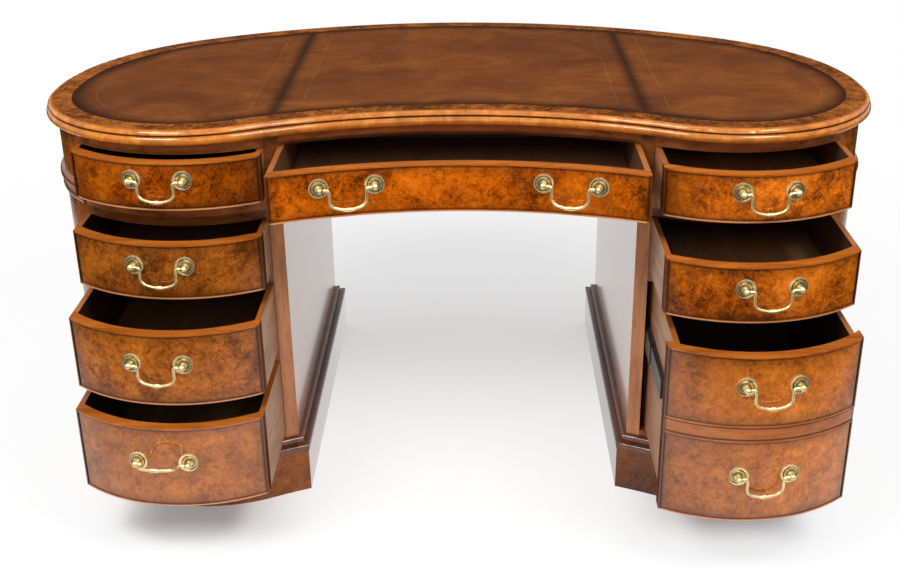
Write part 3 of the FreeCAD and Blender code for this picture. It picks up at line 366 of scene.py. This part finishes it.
def front_finish(name, number):
    finish = new_finish("burr_front_" + fronts[name])
    burr, tone = veneer(finish, name, number)
    plain, _ = straight_figure(finish, (number * 0.3, 0.0, 0.0), ALONG_X, (0.400, 0.112, 0.014),
                               (0.210, 0.052, 0.007))
    rim, side = inside_rim(finish, name)
    colour = finish.mix((1.0 - rim.fade(BEAD, MARGIN)) * 0.40, burr, MARGIN_BROWN)
    # Painted shade: a dark line just inside the bead, where the proud bead shades the panel.
    line = (1.0 - rim.fade(*BESIDE_BEAD)) * (rim > BEAD)
    colour = finish.mix(line * 0.62, colour, BEAD_SHADE)
    colour = finish.mix(rim < BEAD, colour, plain)
    # Painted highlight: a pale line along the bead's lower edge, where the rounded bead catches the light.
    lower = 1.0 - (finish.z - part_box(name)[0].z).fade(BEAD * 0.6, BEAD)
    colour = finish.mix(lower * 0.6, colour, BEAD_HIGHLIGHT)
    # Painted shade: a dark line in the gap between the two filing panels.
    colour = finish.mix((rim < GAP_START) * (rim > GAP_END) * 0.85, colour, GAP_SHADE)
    # Painted shade: a dark band at the front's two ends, where the bead's sides turn from the light.
    colour = finish.mix((1.0 - side.fade(*END_REACH)) * 0.75, colour, END_SHADE)
    nx, ny, nz = finish.parts(finish.facing)
    upward = abs(nz) > UPWARD
    inside = ny > BACKWARD
    end = abs(nx) > ENDWAYS
    colour = finish.mix(upward, colour, plain)
    # Painted shade: the back of the front is near black, for the shade inside the drawer.
    colour = finish.mix(inside, colour, INSIDE_SHADE)
    ripple = finish.noise(finish.place, 22.0, 2.0)
    return finish.plug(Base_Color=colour, Specular_IOR_Level=0.0,
                       Roughness=0.16 + tone * 0.12 + inside.most(end) * 0.4 + upward * 0.1,
                       Coat_Weight=(1.0 - upward.most(end)) * 0.85 + 0.05, Coat_Roughness=0.05,
                       Coat_IOR=1.7 if fronts[name] in THICK_POLISH else 1.5,
                       Normal=finish.bump(ripple + tone * 0.15, 0.10, 0.004))


for number, name in enumerate(sorted(fronts), start=1):
    dress(front_finish(name, number), name)

# %% [markdown]
# A drawer box has dark sides within, a brown bottom, a warm walnut edge along the top and a greyer, satin outside.
# The three linings seen inside are painted lighter, as painted light, and the others darker, as painted shade.
# Those three bottoms darken towards the back, as painted shade under the top.
# All boards of a box are one node, so the finish tells them apart by the way a face points. What points away from
# the drawer's middle is the outside, and what points up is the bottom or, at the very top of the box, the edge.

# %% Drawer boxes
# Painted light and shade: the three linings seen inside are lighter, the others darker.
LIT_LINING = {"centre": 0.66, "right_1": 0.66, "right_2": 0.60}
SHADED_LINING = 0.30
WALL = (0.105, 0.052, 0.026)
BACK_SHADE = (0.010, 0.006, 0.004)
BOX_GRAIN = (1.0, 0.10, 1.0)
BOTTOM_GRAIN = (1.0, 0.06, 1.0)
BACK_DARK = (0.46, 0.92)
EDGE_DEPTH = 0.002


def box_finish(name):
    finish = new_finish("lining_" + name)
    lowest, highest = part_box(name + "_drawer_box")
    lining_level = LIT_LINING.get(name, SHADED_LINING)
    edging, _ = straight_figure(finish, (0.2, 0.0, 0.0), BOX_GRAIN, (0.350, 0.100, 0.012), (0.190, 0.050, 0.006))
    plain, grain = straight_figure(finish, (0.0, 0.2, 0.0), BOX_GRAIN, (0.440, 0.220, 0.105),
                                   (0.230, 0.105, 0.046))
    nx, _, nz = finish.parts(finish.facing)
    outside = (nx * (finish.x - (lowest.x + highest.x) / 2)) > 0.001
    upward = nz > UPWARD
    streak = finish.noise(finish.moved(size=BOTTOM_GRAIN), 70.0, 4.0)
    inner = finish.ramp(streak, (0.35, scaled((0.60, 0.272, 0.108), lining_level)),
                        (0.70, scaled((0.90, 0.425, 0.176), lining_level)))
    if name in LIT_LINING:
        back = (finish.y - lowest.y) / (highest.y - lowest.y)
        # Painted shade: the bottom darkens towards the back, under the top.
        inner = finish.mix(back.fade(*BACK_DARK) * 0.85, inner, BACK_SHADE)
    inner = finish.mix(1.0 - upward, inner, scaled(WALL, lining_level))
    colour = finish.mix(outside, inner, plain)
    colour = finish.mix(upward * ((highest.z - finish.z) < EDGE_DEPTH), colour, edging)
    return finish.plug(Base_Color=colour, Roughness=0.34 + streak * 0.25, Specular_IOR_Level=0.4,
                       Normal=finish.bump(grain, 0.15, 0.001))


for name in fronts.values():
    dress(box_finish(name), name + "_drawer_box")

# %% [markdown]
# The curved ends and back of the carcass are veneered with brown burr, quieter than the fronts. They turn towards
# the camera at a steep angle, where a strong gloss would hide the wood, so the coat is thin.

# %% Curved shells
shell = new_finish("burr_shell")
burr, tone = burr_figure(shell, (0.2, 0.7, 0.1), BROWN_BURR, 0.9, 0.78)
dress(shell.plug(Base_Color=burr, Roughness=0.18 + tone * 0.12, Specular_IOR_Level=0.10, Coat_Weight=0.35,
                 Coat_Roughness=0.05),
      "frieze_shell", "left_pedestal_shell", "right_pedestal_shell")

# %% [markdown]
# The sides of the kneehole are flat, polished walnut with upright grain. They mirror the white studio, which is
# what makes them look grey. Only the flat of the panel is so glossy, and its narrow front edge is not, so the
# coat follows the way a face points.

# %% Kneehole panels
panel = new_finish("kneehole_panel")
plain, grain = straight_figure(panel, (0.1, 0.0, 0.4), ALONG_Z, (0.500, 0.190, 0.066), (0.280, 0.095, 0.031))
flat = abs(panel.parts(panel.facing)[0]).fade(0.80, 0.95)
dress(panel.plug(Base_Color=plain, Roughness=0.16 + grain * 0.10, Specular_IOR_Level=0.4,
                 Coat_Weight=0.15 + flat * 0.38, Coat_Roughness=0.10, Normal=panel.bump(grain, 0.03, 0.001)),
      "left_pedestal_side", "right_pedestal_side")

# %% [markdown]
# Rails, partitions, runners, boards and the waist moulding are plain walnut. The rails under the top are painted
# lighter, as painted light where the top shades them, and their lower edge is painted dark as shade, most of all
# over the middle drawer. That edge is found by its height above the middle drawer's front.

# %% Rails and boards
RAIL_LIGHT = (0.250, 0.074, 0.016)
RAIL_DARK = (0.090, 0.025, 0.006)
# Painted light: the rails under the top are made lighter, as if lit where the top shades them.
FRIEZE_PAINTED_LIGHT = 1.9
SHADE_UP = (0.004, 0.010)
MIDDLE_ENDS = (0.30, 0.36)
RAIL_SHADE = (0.010, 0.004, 0.002)


def rail_finish(name, shade_from=None):
    """Plain walnut; the second argument is the height above which a rail's lower edge is painted dark as shade."""
    rail = new_finish(name)
    level = FRIEZE_PAINTED_LIGHT if shade_from else 1.0
    plain, grain = straight_figure(rail, (0.0, 0.3, 0.2), ALONG_X, scaled(RAIL_LIGHT, level),
                                   scaled(RAIL_DARK, level))
    if shade_from:
        # Painted shade: the lower edge of the rails under the top is dark, for the shade above the drawers.
        shaded = (rail.z > shade_from) * (1.0 - (rail.z - shade_from).fade(*SHADE_UP))
        shaded = shaded * (1.0 - abs(rail.x).fade(*MIDDLE_ENDS) * 0.7)
        plain = rail.mix(shaded * 0.88, plain, RAIL_SHADE)
    return rail.plug(Base_Color=plain, Roughness=0.22 + grain * 0.15, Specular_IOR_Level=0.3, Coat_Weight=0.2,
                     Coat_Roughness=0.10, Normal=rail.bump(grain, 0.10, 0.001))


dress(rail_finish("frieze_walnut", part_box("centre_drawer_front")[1].z), "frieze_rails")
dress(rail_finish("walnut_rail"), "frieze_partitions", "left_pedestal_rails", "right_pedestal_rails",
      "left_pedestal_boards", "right_pedestal_boards", "frieze_runners", "top_core_board", "waist_moulding")

# %% [markdown]
# The plinths are burr again, glossy on the flat that faces the kneehole and duller round the curve. The right one
# is darker than the left, so one finish for both mixes dark brown in where x is positive.

# %% Plinths
RIGHT_DARKER = (0.020, 0.008, 0.004)

plinth = new_finish("plinth_walnut")
burr, tone = burr_figure(plinth, (0.4, 0.1, 0.6), BROWN_BURR, 0.8, 0.88)
burr = plinth.mix((plinth.x > 0.0) * 0.40, burr, RIGHT_DARKER)
flat = abs(plinth.parts(plinth.facing)[0]).fade(0.90, 0.99)
dress(plinth.plug(Base_Color=burr, Roughness=0.24 + tone * 0.03, Specular_IOR_Level=0.2,
                  Coat_Weight=0.3 + flat * (0.7 - (plinth.x > 0.0) * 0.35), Coat_Roughness=0.06),
      "left_plinth", "right_plinth")

# %% [markdown]
# The moulding on the plinth is dark straight walnut, scuffed by feet. Its front end shines, while the run along
# the kneehole is dull. So the coat grows with how far a face points to the front.

# %% Plinth moulding
SCUFF = (0.040, 0.014, 0.006)

step = new_finish("plinth_step")
plain, grain = straight_figure(step, (0.4, 0.1, 0.0), ALONG_Y, (0.180, 0.056, 0.016), (0.060, 0.018, 0.006))
plain = step.mix(step.noise(step.place, 55.0, 4.0).fade(0.52, 0.70) * 0.5, plain, SCUFF)
ahead = abs(step.parts(step.facing)[1]).fade(0.30, 0.60)
dress(step.plug(Base_Color=plain, Roughness=0.22 + grain * 0.10, Specular_IOR_Level=0.2,
                Coat_Weight=0.12 + ahead * 0.88, Coat_Roughness=0.06, Normal=step.bump(grain, 0.06, 0.001)),
      "left_plinth_moulding", "right_plinth_moulding")

# %% [markdown]
# The edge of the top is a run of crossgrain moulding: honey lights on its rolls, a dark line in its groove and small
# nicks and specks all along. The groove's height is known from the moulding's own box. Its uppermost line, beside
# the burr band, is darker and nearly without gloss.

# %% Moulded edge
GROOVE_UP = 0.01825
GROOVE_HALF = (0.0008, 0.0030)
TOP_LINE_DEPTH = (0.0022, 0.0004)
GROOVE_DARK = (0.022, 0.008, 0.003)
NICK = (0.035, 0.012, 0.004)
TOP_LINE = (0.230, 0.060, 0.006)

edge = new_finish("edge_moulding")
lowest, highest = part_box("top_edge_moulding")
cloud = edge.noise(edge.place, 30.0, 5.0, 0.6, 0.6)
colour = edge.ramp(cloud, (0.32, (0.310, 0.088, 0.008)), (0.50, (0.480, 0.146, 0.013)),
                   (0.70, (0.650, 0.226, 0.024)))
groove = 1.0 - abs(edge.z - (lowest.z + GROOVE_UP)).fade(*GROOVE_HALF)
colour = edge.mix(groove * 0.85, colour, GROOVE_DARK)
colour = edge.mix(edge.noise(edge.place, 180.0, 2.0).fade(0.63, 0.72) * 0.6, colour, NICK)
inner = edge.z.fade(*[highest.z - depth for depth in TOP_LINE_DEPTH])
colour = edge.mix(inner * 0.55, colour, TOP_LINE)
dress(edge.plug(Base_Color=colour, Roughness=0.22 + cloud * 0.15, Specular_IOR_Level=0.0,
                Coat_Weight=1.0 - inner * 0.85, Coat_Roughness=0.05, Normal=edge.bump(cloud, 0.10, 0.002)),
      "top_edge_moulding")

# %% [markdown]
# Inside the edge lies a band of strongly figured burr. The camera sees it at a flat angle, where any gloss turns
# to white haze. The real band shows its figure there, so it has next to no coat.

# %% Crossband
band = new_finish("burr_crossband")
burr, tone = burr_figure(band, (0.9, 0.3, 0.5), BROWN_BURR, 1.5, 0.62)
dress(band.plug(Base_Color=burr, Roughness=0.28 + tone * 0.15, Specular_IOR_Level=0.0, Coat_Weight=0.05,
                Coat_Roughness=0.1),
      "top_crossband")

# %% [markdown]
# The leather's dark margin and gilt line follow the kidney. They could be drawn on an image, but a distance is
# exact at any size: the dip, the lobes, the ends, the shoulders and the back are arcs, with the same radii in
# metres as the top board, and the nearest one says how far a spot lies inside. The desk is symmetrical, so x is
# measured from the middle.

# %% Kidney outline
LOBE_Y = -0.017
HALF_WIDTH = 0.797
LOBE = 0.285
LOBE_X = HALF_WIDTH - LOBE
DIP = 0.85036
DIP_Y = 1.01336
RUN = 0.027
SHOULDER = 0.46795
SHOULDER_X = HALF_WIDTH - SHOULDER
BACK = 1.08502
BACK_Y = 0.590 - BACK
FAR = 9.0


def inside_kidney(finish):
    """How far a spot lies inside the outline of the top."""
    x = abs(finish.x)
    y = finish.y - LOBE_Y

    def reach(cx, cy):
        return ((x - cx) ** 2.0 + (y - cy) ** 2.0).root()

    in_dip = (x * DIP_Y) < ((y + DIP_Y) * LOBE_X)
    lobe = LOBE - reach(LOBE_X, 0.0) + (y > 0.0) * FAR
    front = in_dip * (reach(0.0, -DIP_Y) - DIP) + (1.0 - in_dip) * lobe
    in_back = (x * (RUN - BACK_Y)) < ((y - BACK_Y) * SHOULDER_X)
    rear = in_back * (BACK - reach(0.0, BACK_Y)) + (1.0 - in_back) * (SHOULDER - reach(SHOULDER_X, RUN))
    above = y > RUN
    return front.least(above * rear + (1.0 - above) * (HALF_WIDTH - x))


print("kidney half width", HALF_WIDTH, "dip radius", DIP)

# %% [markdown]
# The writing surface is three skins of brown leather, rubbed dark along every edge and along their joints, and
# tooled with one fine, worn gilt line inside. Two noises of different size make the clouds of the dye and the
# wear. The pebbled grain is too fine to model, so it is a bump. Leather this old hardly shines.

# %% Leather skins
BORDER = 0.048
JOINT_X = 0.343
GILT_IN = 0.046
GILT_HALF = (0.0004, 0.0010)
EDGE_RUB, JOINT_RUB = 0.044, 0.030
RUBBED_DARK = (0.016, 0.008, 0.005)
GILT = (0.40, 0.25, 0.09)

hide = new_finish("tooled_leather")
edge_gap = inside_kidney(hide) - BORDER
joint_gap = abs(abs(hide.x) - JOINT_X)
cloud = hide.noise(hide.place, 7.0, 5.0, 0.6, 0.8)
wear = hide.noise(hide.moved(size=(1.0, 2.2, 1.0)), 18.0, 6.0, 0.70)
tone = cloud * 0.7 + wear * 0.3
colour = hide.ramp(tone, (0.34, (0.076, 0.024, 0.008)), (0.50, (0.124, 0.039, 0.011)),
                   (0.66, (0.184, 0.059, 0.013)))
near_edge = 1.0 - (edge_gap + (cloud - 0.5) * 0.016).fade(0.0, EDGE_RUB)
near_joint = 1.0 - (joint_gap + (wear - 0.5) * 0.010).fade(0.0, JOINT_RUB)
dark = (near_edge ** 1.3).most(near_joint ** 1.6 * 0.85)
colour = hide.mix(dark * 0.90, colour, RUBBED_DARK)
gilt = 1.0 - abs(edge_gap.least(joint_gap) - GILT_IN).fade(*GILT_HALF)
kept = hide.noise(hide.place, 60.0, 3.0).fade(0.36, 0.56)
colour = hide.mix(gilt * kept * 0.22, colour, GILT)
pebble = hide.node("ShaderNodeTexVoronoi", {"Vector": hide.place, "Scale": 620.0, "Smoothness": 0.6},
                   feature="SMOOTH_F1")
dress(hide.plug(Base_Color=colour, Roughness=0.42 + tone * 0.22, Specular_IOR_Level=0.002,
                Normal=hide.bump(pebble, 0.10, 0.0006)),
      "leather_centre", "left_leather", "right_leather")

# %% [markdown]
# The handles are cast brass, polished where hands rub them and dull in the hollows. The bails share one finish. A
# rosette has dark rings in its hollow and round its post, and a bright rim. The finish finds them by the distance
# from the post, so it needs the middle of each handle: the posts stand at equal distances either side of it.

# %% Brass
POST = 0.048
ROSETTE = 0.0175
HOLLOW = (0.0121, 0.0127, 0.0143, 0.0150)
COLLAR = (0.0056, 0.0066, 0.0096, 0.0104)
RIM = (0.0148, 0.0154)
TARNISH = (0.110, 0.072, 0.024)
BRIGHT_BRASS = (0.980, 0.840, 0.500)


def brass_finish(name, centres=()):
    """Cast brass; centres are the middles of the handles whose rosettes it covers, across and up."""
    brass = new_finish(name)
    age = brass.noise(brass.place, 90.0, 4.0, 0.6)
    colour = brass.ramp(age, (0.34, (0.690, 0.520, 0.220)), (0.56, (0.840, 0.670, 0.330)),
                        (0.72, (0.930, 0.790, 0.460)))
    ring = None
    for across, up in centres:
        radius = ((abs(brass.x - across) - POST) ** 2.0 + (brass.z - up) ** 2.0).root()
        ring = radius if ring is None else ring.least(radius)
    if ring:
        colour = brass.mix(ring.between(*HOLLOW).most(ring.between(*COLLAR)) * 0.72, colour, TARNISH)
        colour = brass.mix(ring.fade(*RIM) * 0.9, colour, BRIGHT_BRASS)
    fine = brass.noise(brass.place, 700.0, 2.0)
    return brass.plug(Base_Color=colour, Metallic=0.75, Roughness=0.18 + age * 0.20,
                      Normal=brass.bump(fine, 0.08, 0.0004))


def handle_middles(name):
    """The middles of a drawer's handles: two across on the middle one, two up on the filing one."""
    lows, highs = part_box(name + "_handle_mounts")
    middle = (lows.x + highs.x) / 2
    level = (lows.z + highs.z) / 2
    if name == "centre":
        reach = highs.x - ROSETTE - POST
        return [(-reach, level), (reach, level)]
    if name == "file":
        return [(middle, lows.z + ROSETTE), (middle, highs.z - ROSETTE)]
    return [(middle, level)]


dress(brass_finish("bail_brass"), *[bail for bail in nodes if bail.endswith("_bail")])
for name in fronts.values():
    dress(brass_finish("aged_brass_" + name, handle_middles(name)), name + "_handle_mounts")

# %% [markdown]
# The filing drawer runs on slides of black painted steel. Noise stretched along their run gives the paint its
# faint scuffs.

# %% Steel slides
steel = new_finish("slide_steel")
scuff = steel.noise(steel.moved(size=(1.0, 0.2, 1.0)), 120.0, 4.0)
colour = steel.ramp(scuff, (0.40, (0.010, 0.010, 0.011)), (0.75, (0.045, 0.045, 0.048)))
dress(steel.plug(Base_Color=colour, Roughness=0.30 + scuff * 0.25),
      "file_slide_outer", "file_slide_middle", "file_slide_inner")

# %% [markdown]
# The studio's floor is a wide sheet of pale paper that runs out of sight. A curved backdrop would do as well, but
# from above only floor is seen. It lies a hair below the plinths.

# %% Floor
FLOOR_SIZE = 60.0
FLOOR_DROP = 0.0005

bpy.ops.object.select_all(action="DESELECT")
bpy.ops.mesh.primitive_plane_add(size=FLOOR_SIZE, location=(0.0, 0.0, -FLOOR_DROP))
floor = bpy.context.object
floor.name = "studio_floor"
pale = new_finish("studio_paper")
shade = pale.noise(pale.place, 0.8, 2.0)
colour = pale.ramp(shade, (0.3, (0.93, 0.93, 0.935)), (0.7, (0.96, 0.96, 0.96)))
floor.data.materials.append(pale.plug(Base_Color=colour, Roughness=0.7, Specular_IOR_Level=0.2))
print("floor", floor.name, FLOOR_SIZE, "m")

# %% [markdown]
# The paper is lit as the desk is, so it keeps the desk's shadow. White needs no more light: where the camera looks
# straight at the floor, part of it glows at strength 1, all of it further off, less under the pedestals' fronts
# and behind the kneehole. A mirrored floor glows too. Before the desk it lies in the dim half of the room, so a
# reflection that reaches out there is dark.

# %% White paper
FRONT_X, FRONT_Y = 0.52, -0.30
ROOM_Y = 0.6
WHITE = (1.0, 1.0, 1.0, 1.0)


def rays(finish):
    """Three wires: 1 for what the camera sees, for what is mirrored, and for what is seen through glass."""
    return [finish.node("ShaderNodeLightPath", {}, output="Is %s Ray" % word)
            for word in ("Camera", "Glossy", "Transmission")]


looked, mirrored, through = rays(pale)
away = (pale.x ** 2.0 + pale.y ** 2.0).root().fade(1.0, 2.6)
under = (1.0 - abs(abs(pale.x) - FRONT_X).fade(0.06, 0.24)) * (1.0 - abs(pale.y - FRONT_Y).fade(0.04, 0.16))
behind = (1.0 - abs(pale.x).fade(0.35, 0.75)) * pale.y.between(0.0, 0.6, 1.3, 2.4)
near = 1.0 - (pale.x ** 2.0 + (pale.y - ROOM_Y) ** 2.0).root().fade(1.45, 2.10)
seen = looked * (0.78 + away * 0.22 - under * 0.6 - behind * 0.30)
bright = pale.node("ShaderNodeEmission", {"Color": WHITE, "Strength": 1.0})
dim = pale.node("ShaderNodeEmission", {"Color": WHITE, "Strength": 0.01})
paper = pale.node("ShaderNodeMixShader", {0: seen.most(mirrored.most(through) * 0.8),
                                          1: Wire(pale, pale.shader.outputs[0]), 2: bright})
paper = pale.node("ShaderNodeMixShader", {0: mirrored * (1.0 - near), 1: paper, 2: dim})
pale.tree.links.new(paper.socket, pale.tree.nodes["Material Output"].inputs["Surface"])
print("paper nodes", len(pale.tree.nodes))

# %% [markdown]
# The sky lights the desk softly from all round at about half strength, and is pure white only where it is looked
# at, straight, in a reflection or through glass.

# %% Sky
SKY_LIGHT = 0.47

sky = Finish(bpy.data.worlds.new("white_studio"))
bpy.context.scene.world = sky.owner
straight, bounced, passed = rays(sky)
lit = sky.node("ShaderNodeBackground", {"Color": WHITE, "Strength": SKY_LIGHT})
white = sky.node("ShaderNodeBackground", {"Color": WHITE, "Strength": 1.0})
both = sky.node("ShaderNodeMixShader", {0: straight.most(bounced).most(passed), 1: lit, 2: white})
sky.tree.links.new(both.socket, sky.tree.nodes["World Output"].inputs["Surface"])
print("sky at", SKY_LIGHT)

# %% [markdown]
# Four soft boxes do the rest: one at each side above the front for the bright lines along the moulding, a weak
# one before the desk to lift the fronts, and a large one overhead for the top. Each is aimed at the desk by the
# line from its place to its aim.

# %% Soft boxes
MIDDLE = (0.0, 0.0, 0.6)


def soft_box(name, place, aim, size, power):
    lamp = bpy.data.lights.new(name, "AREA")
    lamp.shape = "RECTANGLE"
    lamp.size, lamp.size_y = size
    lamp.energy = power
    box = bpy.data.objects.new(name, lamp)
    box.location = place
    way = [a - b for a, b in zip(aim, place)]
    level = math.hypot(way[0], way[1])
    box.rotation_euler = (math.atan2(level, -way[2]), 0.0, math.atan2(-way[0], way[1]))
    bpy.context.scene.collection.objects.link(box)
    print(name, power, "W")


soft_box("left_box", (-1.35, -1.6, 2.8), MIDDLE, (1.2, 0.8), 57.0)
soft_box("right_box", (1.35, -1.6, 2.8), MIDDLE, (1.2, 0.8), 50.0)
soft_box("front_box", (0.0, -3.4, 2.1), (0.0, 0.0, 0.5), (1.8, 1.0), 11.0)
soft_box("top_box", (0.0, 0.4, 3.4), MIDDLE, (2.6, 1.8), 20.0)
